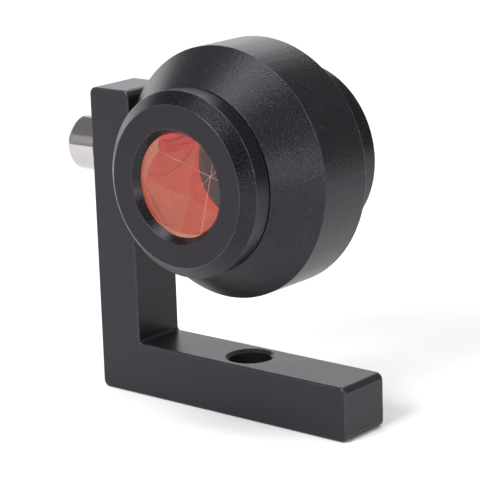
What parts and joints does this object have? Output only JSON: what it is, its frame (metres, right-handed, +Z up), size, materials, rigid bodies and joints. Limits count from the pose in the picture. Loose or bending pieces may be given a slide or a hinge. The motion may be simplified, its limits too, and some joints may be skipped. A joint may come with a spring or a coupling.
{
  "type": "survey prism",
  "caption": "Double-sided mini survey prism: copper-backed corner cubes in a black double-cone housing that tilts on a socket screw in an L-bar with a bolt hole.",
  "frame": {"origin": "middle of the object's box on the plane the foot stands on; the pivot axis is at x 10.65, y 2.02, z 60.92 mm", "axes": "+Z up along the leg, +X along the foot away from the leg, -Y the way the front glass looks"},
  "size_m": [0.0864, 0.0496, 0.0909],
  "materials": {
    "bar_black": "black anodised, fine satin blast",
    "housing_black": "black anodised, bead blasted",
    "ring_black": "black anodised, bead blasted",
    "stainless": "turned stainless steel",
    "coated_glass": "polished optical glass, copper coating on the three rear facets",
    "black_rubber": "smooth black rubber",
    "grey_cushion": "dark closed-cell foam rubber",
    "cell_plastic": "matt black moulded plastic",
    "friction_polymer": "natural acetal"
  },
  "bodies": {
    "bracket": {"l_bracket": "bar_black", "friction_washer": "friction_polymer"},
    "housing": {"housing_body": "housing_black", "front_ring": "ring_black", "rear_ring": "ring_black", "front_corner_cube": "coated_glass", "rear_corner_cube": "coated_glass", "front_cell": "cell_plastic", "rear_cell": "cell_plastic", "front_cell_gasket": "black_rubber", "rear_cell_gasket": "black_rubber", "front_ring_seal": "black_rubber", "rear_ring_seal": "black_rubber", "front_cushion": "grey_cushion", "rear_cushion": "grey_cushion"},
    "screw": {"pivot_screw": "stainless"}
  },
  "joints": [
    {"name": "prism_tilt", "type": "hinge", "parent": "bracket", "child": "housing", "pos_m": [0.01065, 0.00202, 0.06092], "axis": [1, 0, 0], "continuous": true},
    {"name": "clamp_screw_turn", "type": "hinge", "parent": "housing", "child": "screw", "pos_m": [-0.03389, 0.00202, 0.06092], "axis": [-1, 0, 0], "range_deg": [0, 180]}
  ]
}
